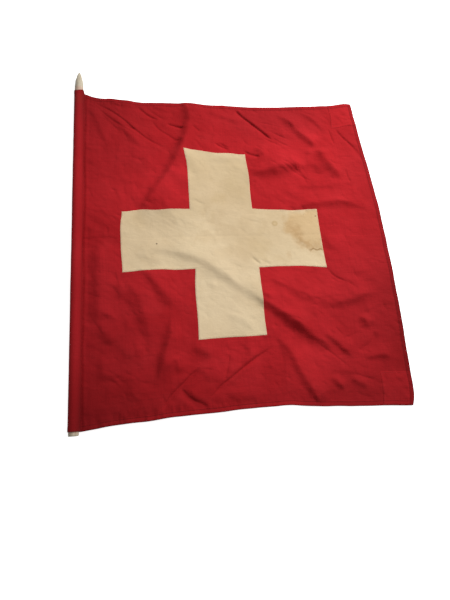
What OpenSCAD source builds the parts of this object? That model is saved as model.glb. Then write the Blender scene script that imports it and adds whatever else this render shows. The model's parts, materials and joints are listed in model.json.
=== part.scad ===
// Square cloth flag with an applied cross, sleeved on a short round staff.
// It lies face up: +Y runs along the staff to its tip, +X from the staff to
// the fly edge, and Z = 0 is the surface that it lies on.

/* [Staff] */
// Diameter of the wooden staff
staff_d = 28; // [20:0.5:32]
// Length of the bullet-shaped tip
tip_len = 72; // [50:1:90]
// How pointed the tip is: 0.5 is half an ellipse, and more is more pointed
tip_power = 0.65; // [0.5:0.05:1]
// Length of bare staff below the sleeve
butt_len = 10; // [8:1:60]
// How much the bare butt is sanded back, on the radius
butt_easing = 0.3; // [0.2:0.1:0.6]
// Chamfer round the sawn end of the butt
butt_chamfer = 1; // [0.5:0.5:2]

/* [Cloth] */
// Length of the hoist, which the sleeve runs along
hoist_len = 1100; // [900:1:1200]
// Distance from the staff's axis to the fly corners
fly_x = 982; // [850:1:1100]
// Thickness of one layer of cloth
cloth_t = 0.6; // [0.5:0.1:1]
// How far the top edge sags inwards at its middle
top_sag = 32; // [0:1:40]
// How far the bottom edge rises inwards at its middle
bottom_sag = 28; // [0:1:40]
// How far the fly edge bulges outwards at its middle
fly_bulge = 28; // [0:1:40]
// Width of the hem that is turned to the back
hem_w = 16; // [10:1:25]
// Width of the patch in each fly corner, from the fly edge
patch_w = 94; // [60:1:110]
// Height of the patch in each fly corner, from the top or bottom edge
patch_h = 100; // [60:1:120]

/* [Sleeve] */
// Clearance between the staff and the sleeve, on the radius
sleeve_gap = 0.3; // [0.2:0.1:0.8]
// Wall of the sleeve
sleeve_wall = 0.7; // [0.6:0.1:1]
// Distance from the staff's axis to the seam beside it
seam_x = 16; // [16:0.5:26]
// How far the sleeve's turned edge runs on past the seam, at the back
allowance = 12; // [8:1:20]

/* [Cross] */
// Width of the cross's arms
arm_w = 205; // [180:1:230]
// Length of each arm, from the inner corner to its end
arm_len = 221; // [180:1:240]
// Distance from the staff's axis to the middle of the cross
cross_x = 453; // [430:1:520]
// Height of the cross's middle above the middle of the hoist
cross_up = 7; // [-20:1:20]

/* [Folding] */
// Gap between two strips of cloth at a fold line
fold_gap = 0.4; // [0.3:0.1:0.8]

/* [Sewing] */
// Thickness of the sewing thread
thread_t = 0.5; // [0.4:0.1:0.8]
// Width of a line of stitches
stitch_w = 1; // [0.6:0.1:1.5]
// Distance from a sewn edge to its line of stitches
edge_margin = 3; // [2:0.5:5]

/* [Hidden] */

// The cloth divides into this many strips, which the fold lines join.
strips = 5;
// The cross reaches over this many of them.
cross_strips = 4;

staff_r = staff_d / 2;
bore_r = staff_r + sleeve_gap;
sleeve_r = bore_r + sleeve_wall;
staff_len = butt_len + hoist_len + tip_len;
total_w = sleeve_r + fly_x + fly_bulge;
hoist_mid = butt_len + hoist_len / 2;
cross_y = hoist_mid + cross_up;
strip_w = (fly_x - seam_x) / strips;

// Heights of the layers, from the surface that the flag lies on.
back_z = 0;
field_z = cloth_t;
front_z = 2 * cloth_t;
cover_z = 3 * cloth_t;

// Shape of the sagging edges: a low power drops quickly beside the corners.
top_power = 0.5;
bottom_power = 1;
edge_steps = 40;
fly_steps = 24;
round_fn = 96;
// Reach of a cut that goes clear past what it cuts.
clear = 1;

red = "#a81c26";
cream = "#d9c9a0";
pale_wood = "#cbb690";
red_thread = "#8f1a22";
cream_thread = "#e6dcc0";

// Share of the way from the seam to the fly, between 0 and 1.
function share(x) = min(1, max(0, (x - seam_x) / (fly_x - seam_x)));

// 0 at both ends and 1 in the middle.
function arch(s, power) = pow(max(0, 4 * s * (1 - s)), power);

// The cloth's edges, drawn in by inset.
function top_y(x, inset) =
    hoist_mid + hoist_len / 2 - top_sag * arch(share(x), top_power) - inset;
function bottom_y(x, inset) =
    hoist_mid - hoist_len / 2 + bottom_sag * arch(share(x), bottom_power) + inset;
function fly_edge_x(y, inset) =
    fly_x + fly_bulge * arch((y - hoist_mid) / hoist_len + 0.5, 1) - inset;

// The points from a to b in n equal steps.
function steps(a, b, n) = [for (i = [0 : n]) a + (b - a) * i / n];

// Puts the middle of the flag's footprint at the origin.
module in_place() {
    translate([-(total_w / 2 - sleeve_r), -staff_len / 2, 0]) children();
}

// A flat layer with its underside at height z.
module layer(z, thickness = cloth_t) {
    translate([0, 0, z]) linear_extrude(thickness) children();
}

// The whole cloth from the seam to the fly edge, with its free edges drawn in by inset.
module cloth_outline(inset = 0) {
    start = seam_x - (inset > 0 ? clear : 0);
    corner_x = fly_x - inset;
    xs = steps(start, corner_x, edge_steps);
    ys = steps(bottom_y(corner_x, inset), top_y(corner_x, inset), fly_steps);
    polygon(concat(
        [for (x = xs) [x, bottom_y(x, inset)]],
        [for (k = [1 : fly_steps - 1]) [fly_edge_x(ys[k], inset), ys[k]]],
        [for (k = [edge_steps : -1 : 0]) [xs[k], top_y(xs[k], inset)]]));
}

// The part of its children that belongs to strip i, where strip 0 begins at the seam.
module strip_of(i) {
    from = seam_x + i * strip_w + (i == 0 ? 0 : fold_gap / 2);
    to = i == strips - 1 ? total_w : seam_x + (i + 1) * strip_w - fold_gap / 2;
    intersection() {
        children();
        translate([from, 0]) square([to - from, staff_len]);
    }
}

module cross_outline(inset = 0) {
    width = arm_w - 2 * inset;
    length = arm_w + 2 * arm_len - 2 * inset;
    translate([cross_x, cross_y]) {
        square([width, length], center = true);
        square([length, width], center = true);
    }
}

// The corner of the plane that a patch covers, with its two inner sides drawn in by inset.
module patch_corner(top, inset = 0) {
    inner_x = fly_x - patch_w + inset;
    low_y = top ? top_y(fly_x, 0) - patch_h + inset : 0;
    high_y = top ? staff_len : bottom_y(fly_x, 0) + patch_h - inset;
    translate([inner_x, low_y]) square([total_w - inner_x, high_y - low_y]);
}

// Round staff with a bullet-shaped tip, lying along Y.
module staff() {
    // The tip's side leaves the staff's side in line with it, and closes bluntly.
    tip_base = butt_len + hoist_len;
    tip_steps = 14;
    function tip_r(share) = staff_r * pow(1 - share * share, tip_power);
    profile = concat(
        [[0, 0],
         [staff_r - butt_easing - butt_chamfer, 0],
         [staff_r - butt_easing, butt_chamfer],
         [staff_r - butt_easing, butt_len],
         [staff_r, butt_len]],
        // The steps are closer together towards the end, where the side turns in.
        [for (k = [0 : tip_steps - 1]) let (share = sin(90 * k / tip_steps))
            [tip_r(share), tip_base + tip_len * share]],
        [[0, tip_base + tip_len]]);
    color(pale_wood)
        in_place()
            translate([0, 0, sleeve_r])
                rotate([-90, 0, 0])
                    rotate_extrude($fn = round_fn) polygon(profile);
}

// A cylinder on the staff's axis, from the sleeve's bottom end.
module along_staff(r, length) {
    translate([0, 0, sleeve_r])
        rotate([-90, 0, 0]) cylinder(r = r, h = length, $fn = round_fn);
}

// Cloth that goes round the staff and comes down to the seam beside it, with its turned
// edge under the field.
module sleeve() {
    // Where the slope up from the seam touches the round of the sleeve.
    seam_reach = norm([seam_x, sleeve_r - front_z]);
    touch = acos(sleeve_r / seam_reach) - atan2(sleeve_r - front_z, seam_x);
    color(red)
        in_place()
            translate([0, butt_len, 0])
                difference() {
                    union() {
                        along_staff(sleeve_r, hoist_len);
                        translate([0, hoist_len, 0])
                            rotate([90, 0, 0])
                                linear_extrude(hoist_len)
                                    polygon([[0, 0],
                                             [seam_x + allowance, 0],
                                             [seam_x + allowance, cloth_t],
                                             [seam_x, cloth_t],
                                             [seam_x, front_z],
                                             [sleeve_r * cos(touch), sleeve_r * (1 + sin(touch))],
                                             [0, sleeve_r]]);
                    }
                    translate([0, -clear, 0]) along_staff(bore_r, hoist_len + 2 * clear);
                }
}

// The line of thread that closes the sleeve beside the staff.
module sleeve_seam() {
    color(red_thread)
        in_place()
            layer(front_z, thread_t)
                translate([seam_x + edge_margin, butt_len + hem_w])
                    square([stitch_w, hoist_len - 2 * hem_w]);
}

// The red cloth of strip i, with its hems turned to the back.
module field(i) {
    color(red)
        in_place() {
            layer(field_z) strip_of(i) cloth_outline();
            layer(back_z) strip_of(i) difference() {
                cloth_outline();
                cloth_outline(hem_w);
                // The sleeve's turned edge lies here.
                square([seam_x + allowance, staff_len]);
            }
        }
}

// One side's half of the applied cross, on strip i.
module cross_layer(i, z) {
    color(cream) in_place() layer(z) strip_of(i) cross_outline();
}

// The line of thread along the hems of strip i, up to the patches.
module hem_stitches(i) {
    inset = hem_w - edge_margin;
    color(red_thread)
        in_place()
            layer(front_z, thread_t) strip_of(i) difference() {
                cloth_outline(inset);
                cloth_outline(inset + stitch_w);
                for (top = [true, false]) patch_corner(top);
                // The sleeve's seam comes first.
                square([seam_x + 2 * edge_margin, staff_len]);
            }
}

// The line of thread just inside the edge of the cross, through both its sides.
module cross_stitches(i) {
    color(cream_thread)
        in_place()
            layer(cover_z, thread_t) strip_of(i) difference() {
                cross_outline(edge_margin);
                cross_outline(edge_margin + stitch_w);
            }
}

// Cloth that doubles a fly corner on the front.
module patch(top) {
    color(red) in_place() layer(front_z) intersection() {
        cloth_outline();
        patch_corner(top);
    }
}

// The lines of thread round both patches.
module patch_stitches() {
    module stitched_area(top, inset) {
        intersection() {
            cloth_outline(hem_w - edge_margin + inset);
            patch_corner(top, edge_margin + inset);
        }
    }
    color(red_thread)
        in_place()
            for (top = [true, false])
                layer(cover_z, thread_t) difference() {
                    stitched_area(top, 0);
                    stitched_area(top, stitch_w);
                }
}

staff();
sleeve();
sleeve_seam();
for (i = [0 : strips - 1]) {
    field(i);
    hem_stitches(i);
}
for (i = [0 : cross_strips - 1]) {
    cross_layer(i, front_z);
    cross_layer(i, back_z);
    cross_stitches(i);
}
patch(true);  // top_patch
patch(false);  // bottom_patch
patch_stitches();
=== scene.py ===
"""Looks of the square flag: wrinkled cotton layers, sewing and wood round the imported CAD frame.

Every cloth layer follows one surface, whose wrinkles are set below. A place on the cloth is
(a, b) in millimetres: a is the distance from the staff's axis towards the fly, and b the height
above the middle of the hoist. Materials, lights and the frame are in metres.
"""

import json
import math

import bpy
import numpy as np
from mathutils import Matrix, Vector


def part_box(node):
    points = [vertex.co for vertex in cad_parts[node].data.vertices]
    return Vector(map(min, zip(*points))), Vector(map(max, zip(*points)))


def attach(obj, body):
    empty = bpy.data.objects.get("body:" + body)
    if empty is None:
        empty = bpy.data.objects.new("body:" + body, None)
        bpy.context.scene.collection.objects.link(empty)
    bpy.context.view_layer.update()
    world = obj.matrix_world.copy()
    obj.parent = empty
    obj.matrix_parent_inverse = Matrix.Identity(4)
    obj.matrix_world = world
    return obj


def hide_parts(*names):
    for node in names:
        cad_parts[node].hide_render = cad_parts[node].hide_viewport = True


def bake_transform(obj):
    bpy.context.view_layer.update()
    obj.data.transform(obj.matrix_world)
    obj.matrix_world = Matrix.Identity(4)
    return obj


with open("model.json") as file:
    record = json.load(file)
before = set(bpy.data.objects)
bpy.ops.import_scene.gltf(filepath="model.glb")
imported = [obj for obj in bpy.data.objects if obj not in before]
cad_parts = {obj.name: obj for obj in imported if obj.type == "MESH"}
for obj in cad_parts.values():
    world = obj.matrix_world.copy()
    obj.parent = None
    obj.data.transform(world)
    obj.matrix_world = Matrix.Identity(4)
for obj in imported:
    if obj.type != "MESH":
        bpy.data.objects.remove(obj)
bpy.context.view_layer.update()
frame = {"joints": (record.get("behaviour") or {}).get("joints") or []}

MM = 0.001

# ---------------------------------------------------------------- sizes, from the frame

staff_lo, staff_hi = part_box("staff")
sleeve_lo, sleeve_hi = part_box("sleeve")
AXIS_X = (staff_lo.x + staff_hi.x) / 2
AXIS_Z = (staff_lo.z + staff_hi.z) / 2
STAFF_R = (staff_hi.x - staff_lo.x) / 2 / MM
MID_Y = (sleeve_lo.y + sleeve_hi.y) / 2
HOIST = (sleeve_hi.y - sleeve_lo.y) / 2 / MM
FOLDS = [j["pos_m"][0] for j in frame["joints"] if j["name"].startswith("fold")]
STRIPS = ["hoist_strip", "strip_2", "strip_3", "strip_4", "fly_strip"]


def a_of(x):
    """Distance from the staff's axis in millimetres, of a place x in the frame."""
    return (x - AXIS_X) / MM


def b_of(y):
    """Height above the hoist's middle in millimetres, of a place y in the frame."""
    return (y - MID_Y) / MM


TO_FRAME = np.array([AXIS_X, MID_Y, 0])
SEAM = a_of(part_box("field_1")[0].x)
STRIP_W = (FOLDS[1] - FOLDS[0]) / MM
FLY = SEAM + STRIP_W * len(STRIPS)
HEM = 16
# The cross is a level arm and an upright post, each a box with its ends along a and along b.
CROSS_A = (a_of(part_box("cross_front_1")[0].x), a_of(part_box("cross_front_4")[1].x))
CROSS_B = (b_of(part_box("cross_front_3")[0].y), b_of(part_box("cross_front_3")[1].y))
ARM_B = (b_of(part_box("cross_front_1")[0].y), b_of(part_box("cross_front_1")[1].y))
ARM_W = ARM_B[1] - ARM_B[0]
ARM_A = ((sum(CROSS_A) - ARM_W) / 2, (sum(CROSS_A) + ARM_W) / 2)
PATCH_A = a_of(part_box("top_patch")[0].x)
PATCH_B = b_of(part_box("top_patch")[0].y)
ALLOWANCE = a_of(sleeve_hi.x) - SEAM
# The cloth is built in sections that meet half-way between two fold lines.
CUTS = [SEAM] + [SEAM + STRIP_W * (k + 0.5) for k in range(len(STRIPS))] + [FLY]
SECTIONS = range(len(CUTS) - 1)
CROSS_BOXES = ((CROSS_A, ARM_B), (ARM_A, CROSS_B))
# Every line of stitches lies this far inside the hem or turned edge that it holds.
IN_FROM_EDGE = 3
# The sleeve's stitches lie this far from the seam's edge.
SEAM_FURROW = 2.2

# ---------------------------------------------------------------- the cloth's free edges

# How far the real edges lie inside the straight ones, at shares of the way to the fly.
TOP_SAG = [(0, 7), (0.01, 11), (0.03, 17), (0.055, 21), (0.085, 21), (0.14, 27), (0.2, 32),
           (0.28, 31), (0.37, 28), (0.43, 35), (0.5, 36), (0.6, 36), (0.73, 31), (0.86, 24),
           (0.92, 19), (0.99, 10), (1, 11)]
BOTTOM_SAG = [(0, 0), (0.07, 7), (0.18, 13), (0.29, 20), (0.38, 21), (0.53, 25), (0.6, 24),
              (0.72, 13), (0.85, 4), (0.95, -3), (1, -7)]
# How far the fly edge bulges out, at heights up the hoist.
FLY_BULGE = [(-550, 5), (-530, 12), (-450, 17), (-300, 24), (-140, 28), (35, 26), (130, 24),
             (220, 18), (320, 9), (370, 5), (470, 0), (550, -6)]


def through(pairs, x):
    """A smooth curve through the pairs, at x."""
    px, py = (np.array(v, float) for v in zip(*pairs))
    slope = np.gradient(py, px)
    i = np.clip(np.searchsorted(px, x) - 1, 0, len(px) - 2)
    width = px[i + 1] - px[i]
    t = np.clip((x - px[i]) / width, 0, 1)
    return ((2 * t**3 - 3 * t**2 + 1) * py[i] + (t**3 - 2 * t**2 + t) * width * slope[i]
            + (3 * t**2 - 2 * t**3) * py[i + 1] + (t**3 - t**2) * width * slope[i + 1])


def smooth(t):
    """0 below 0, 1 above 1 and an even rise between them."""
    t = np.clip(t, 0, 1)
    return t * t * (3 - 2 * t)


# ---------------------------------------------------------------- the cloth in its plane

def value_noise(a, b, cell, seed, turn=0.0, stretch=1.0):
    """Smooth noise from -1 to 1 with that cell size, drawn out along a direction."""
    random = np.random.RandomState(seed)
    c, s = math.cos(turn), math.sin(turn)
    u = (a * c + b * s) / (cell * stretch) + 500
    v = (b * c - a * s) / cell + 500
    i, j = np.floor(u).astype(int), np.floor(v).astype(int)
    table = random.uniform(-1, 1, (257, 257))
    fu, fv = u - i, v - j
    su, sv = (f**3 * (f * (f * 6 - 15) + 10) for f in (fu, fv))
    i0, j0, i1, j1 = i % 257, j % 257, (i + 1) % 257, (j + 1) % 257
    low = table[j0, i0] * (1 - su) + table[j0, i1] * su
    high = table[j1, i0] * (1 - su) + table[j1, i1] * su
    return low * (1 - sv) + high * sv


# Where the cloth is pulled out of true, mostly the cross's corners: the place, how far the pull
# reaches, and the shift, in millimetres.
PULLS = [(450, 331, 140, 0, -12), (240, 110, 100, 0, -6), (670, 110, 100, 0, -6),
         (350, 331, 45, -8, 2), (555, 331, 60, -5, -10), (776, -95, 60, 3, -8),
         (776, 110, 40, 1, -1), (129, -95, 50, 5, -6), (129, 110, 40, 6, -6), (190, 110, 30, 0, 3),
         (350, -95, 40, 5, 0), (555, -95, 40, 0, -3), (350, -317, 40, -2, -3), (450, 331, 35, 0, -5),
         (890, 452, 45, -6, -10)]


def pulled(a, b):
    """Shift in the cloth's plane at (a, b)."""
    across, up = 1.3 * value_noise(a, b, 160, 31), 1.3 * value_noise(a, b, 150, 33)
    across, up = across + 1.0 * value_noise(a, b, 55, 35), up + 1.0 * value_noise(a, b, 50, 37)
    for ca, cb, reach, da, db in PULLS:
        near = np.exp(-((a - ca) ** 2 + (b - cb) ** 2) / reach**2)
        across, up = across + da * near, up + db * near
    return across, up


def drawn(a, b):
    """How far the cloth at (a, b) is drawn from its true square, in the plane."""
    share = np.clip((a - SEAM) / (FLY - SEAM), 0, 1)
    across, up = pulled(a, b)
    across = across + through(FLY_BULGE, b) * smooth((a - CROSS_A[1]) / (FLY - CROSS_A[1]))
    up = up - through(TOP_SAG, share) * smooth((b - CROSS_B[1]) / (HOIST - CROSS_B[1]))
    up = up + through(BOTTOM_SAG, share) * smooth((CROSS_B[0] - b) / (HOIST + CROSS_B[0]))
    return across, up


def on_cloth(x, y):
    """The places on the cloth that lie at (x, y) in the plane."""
    a, b = x, y
    for _ in range(8):
        across, up = drawn(a, b)
        a, b = x - across, y - up
    return a, b


def from_edge(a, b):
    """Distance from the nearest free edge of the cloth."""
    return np.minimum(np.minimum(HOIST - b, b + HOIST), FLY - a)


def inside_box(a, b, a_ends, b_ends):
    """How far inside a rectangle (a, b) is; negative outside it."""
    inside_a, inside_b = (np.minimum(way - low, high - way)
                          for way, (low, high) in ((a, a_ends), (b, b_ends)))
    return np.minimum(inside_a, inside_b)


def inside_cross(a, b):
    """How far inside the cross (a, b) is; negative outside it."""
    return np.maximum(*[inside_box(a, b, *box) for box in CROSS_BOXES])


# ---------------------------------------------------------------- the cloth's heights

# The heights are kept on a grid with this pitch, which goes past the cloth by the margin.
PITCH = 2.0
MARGIN = 12
grid_a = np.arange(SEAM - MARGIN, FLY + MARGIN, PITCH)
grid_b = np.arange(-HOIST - MARGIN, HOIST + MARGIN, PITCH)
AA, BB = np.meshgrid(grid_a, grid_b)

# Direction in the plane that most of the light comes from, for the wrinkles' lit sides.
LIGHT_WAY = np.array([0.66, 0.75])

# Real wrinkles wander and aren't equally deep all along.
WANDER = value_noise(AA, BB, 30, 61)
UNEVEN = value_noise(AA, BB, 55, 63)


def spline(points, per_span=6):
    """A smooth open curve through the points."""
    p = np.array(points, float)
    p = np.vstack([2 * p[0] - p[1], p, 2 * p[-1] - p[-2]])
    out = []
    for k in range(1, len(p) - 2):
        for t in np.arange(per_span) / per_span:
            out.append(0.5 * (2 * p[k] + (p[k + 1] - p[k - 1]) * t
                              + (2 * p[k - 1] - 5 * p[k] + 4 * p[k + 1] - p[k + 2]) * t**2
                              + (3 * p[k] - p[k - 1] - 3 * p[k + 1] + p[k + 2]) * t**3))
    out.append(p[-2])
    return np.array(out)


def beside_line(points, a, b):
    """Signed distance from the curve, positive away from the light, and the share along it."""
    start, end = points[:-1], points[1:]
    way = end - start
    length = np.linalg.norm(way, axis=1)
    travelled = np.concatenate([[0], np.cumsum(length)])
    best = np.full(a.shape, 1e9)
    share, side = np.zeros(a.shape), np.zeros(a.shape)
    for k in range(len(way)):
        da, db = a - start[k, 0], b - start[k, 1]
        t = np.clip((da * way[k, 0] + db * way[k, 1]) / length[k] ** 2, 0, 1)
        ra, rb = da - t * way[k, 0], db - t * way[k, 1]
        distance = np.hypot(ra, rb)
        nearer = distance < best
        best = np.where(nearer, distance, best)
        share = np.where(nearer, (travelled[k] + t * length[k]) / travelled[-1], share)
        side = np.where(nearer, np.sign(way[k, 0] * rb - way[k, 1] * ra), side)
    whole = points[-1] - points[0]
    left = np.array([-whole[1], whole[0]])
    away = -1 if left @ LIGHT_WAY > 0 else 1
    return best * side * away, share


# A roll's lit side falls this much more gently than its written width says.
LIT_SIDE = 1.4


def wrinkle(heights, kind, line, height, dark, bright, taper):
    """Adds one wrinkle along a line to the heights. A roll is a rounded ridge whose flank away from
    the light is centred on the line; a crease is a sharp valley on the line. dark and bright are
    the widths of the side that faces away from the light and of the side that faces it."""
    reach = 3 * max(dark, LIT_SIDE * bright if kind == "roll" else bright) + 4
    rows = np.where((grid_b > line[:, 1].min() - reach) & (grid_b < line[:, 1].max() + reach))[0]
    cols = np.where((grid_a > line[:, 0].min() - reach) & (grid_a < line[:, 0].max() + reach))[0]
    if len(rows) == 0 or len(cols) == 0:
        return
    block = np.ix_(rows, cols)
    d, share = beside_line(line, AA[block], BB[block])
    d = d + 0.17 * min(dark, 9) * WANDER[block]
    strength = smooth(share / taper[0]) * smooth((1 - share) / taper[1]) * (1 + 0.24 * UNEVEN[block])
    narrow = 0.45 + 0.55 * strength
    if kind == "roll":
        x = d + 0.7 * dark * narrow
        lit = np.exp(-np.abs(x / (LIT_SIDE * bright)) ** 1.6)
        shape = np.where(x > 0, np.exp(-((x / (dark * narrow)) ** 2)), lit)
    else:
        shape = -np.exp(-np.abs(d) / (np.where(d > 0, bright, dark) * narrow))
    heights[block] += height * strength * shape


# How much deeper the wrinkles are than the heights below.
DEPTH = 1.8
# The tapers of a wrinkle that names none.
EVEN_TAPER = (0.4, 0.4)

# Wrinkles that show plainly, one row each: height, dark side, bright side, perhaps the tapers at
# the two ends, and the places in the plane that the line goes through.
CREASES = [
    # From the top corner of the hoist.
    (2.5, 1.9, 12, 0.12, 0.45, [(45, 514), (75, 497), (105, 479), (145, 444), (182, 407), (226, 370),
     (280, 338), (310, 318)]),
    (1.2, 2.0, 9, 0.2, 0.5, [(35, 517), (70, 480), (110, 440), (165, 400), (225, 352)]),
    (0.9, 2.2, 8, 0.3, 0.5, [(60, 480), (88, 446), (125, 405), (160, 365)]),
    # Along the top, between the hoist and the cross.
    (3.0, 3.0, 9, 0.25, 0.3, [(195, 500), (220, 474), (240, 458), (268, 446)]),
    (1.3, 2.0, 7, 0.3, 0.3, [(237, 451), (262, 412), (290, 390), (320, 368), (352, 362)]),
    (1.0, 2.2, 7, 0.3, 0.4, [(225, 500), (255, 470), (300, 440)]),
    (3.0, 2.6, 7, 0.2, 0.2, [(290, 433), (318, 424), (350, 413)]),
    (1.4, 2.2, 6, [(372, 424), (392, 408), (402, 390)]),
    # Between the cross and the top edge.
    (4.8, 2.4, 10, 0.12, 0.2, [(532, 498), (564, 462), (600, 429), (632, 398), (660, 370)]),
    (1.5, 2.0, 6, [(610, 395), (650, 368), (705, 342)]),
    (1.5, 2.0, 6, [(635, 420), (680, 396), (735, 372)]),
    (1.2, 2.0, 5, [(600, 450), (650, 440), (700, 425)]),
    (1.3, 2.0, 6, [(640, 400), (690, 362), (750, 330)]),
    (3.4, 2.4, 6, 0.3, 0.3, [(446, 356), (474, 341), (502, 330)]),
    (1.8, 2.0, 5, [(455, 360), (484, 345), (512, 336)]),
    (2.4, 2.2, 6, 0.3, 0.3, [(545, 328), (575, 312), (608, 298)]),
    (2.2, 2.6, 7, [(866, 437), (876, 395), (884, 350)]),
    (3.4, 2.6, 9, 0.25, 0.2, [(893, 432), (921, 393), (948, 361), (967, 333), (981, 298)]),
    (1.4, 2.2, 6, 0.3, 0.3, [(655, 285), (690, 262), (735, 238), (785, 203)]),
    (1.2, 2.0, 6, 0.3, 0.3, [(668, 292), (708, 266), (752, 240)]),
    (1.6, 2.4, 7, [(904, 270), (912, 230), (924, 198)]),
    (1.2, 2.4, 7, [(735, 255), (752, 225), (760, 190)]),
    # The long fold down from the cross to the lower fly corner.
    (2.2, 2.4, 8, 0.35, 0.4, [(778, -103), (805, -135), (850, -162)]),
    (5.0, 5.0, 10, 0.3, 0.3, [(908, -318), (898, -346), (874, -367), (836, -381)]),
    (2.2, 2.2, 7, [(762, -524), (786, -508), (808, -496)]),
    (2.6, 2.4, 7, [(812, -502), (836, -517), (862, -523)]),
    (1.8, 2.2, 6, [(818, -448), (850, -462), (886, -470)]),
    (1.6, 2.0, 7, [(700, -345), (745, -375), (790, -415), (825, -450)]),
    # Soft folds below the cross's hoist arm.
    (6.4, 3.8, 9, 0.3, 0.3, [(350, -396), (320, -422), (293, -446), (267, -469), (250, -489), (230, -516)]),
    (5.0, 5.0, 8, 0.25, 0.25, [(288, -452), (305, -478), (330, -498), (365, -512)]),
    (7.0, 5.4, 15, 0.25, 0.35, [(362, -496), (407, -457), (433, -438), (462, -417), (512, -385),
     (580, -345)]),
    (1.6, 2.4, 8, [(405, -470), (425, -420), (436, -370), (442, -335)]),
    # On the cross.
    (1.0, 2.6, 9, [(360, 145), (384, 130), (404, 122)]),
    (1.4, 2.2, 6, [(532, -58), (548, -74), (566, -94)]),
    (0.8, 2.2, 6, [(556, -66), (580, -80), (604, -95)]),
]
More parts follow.
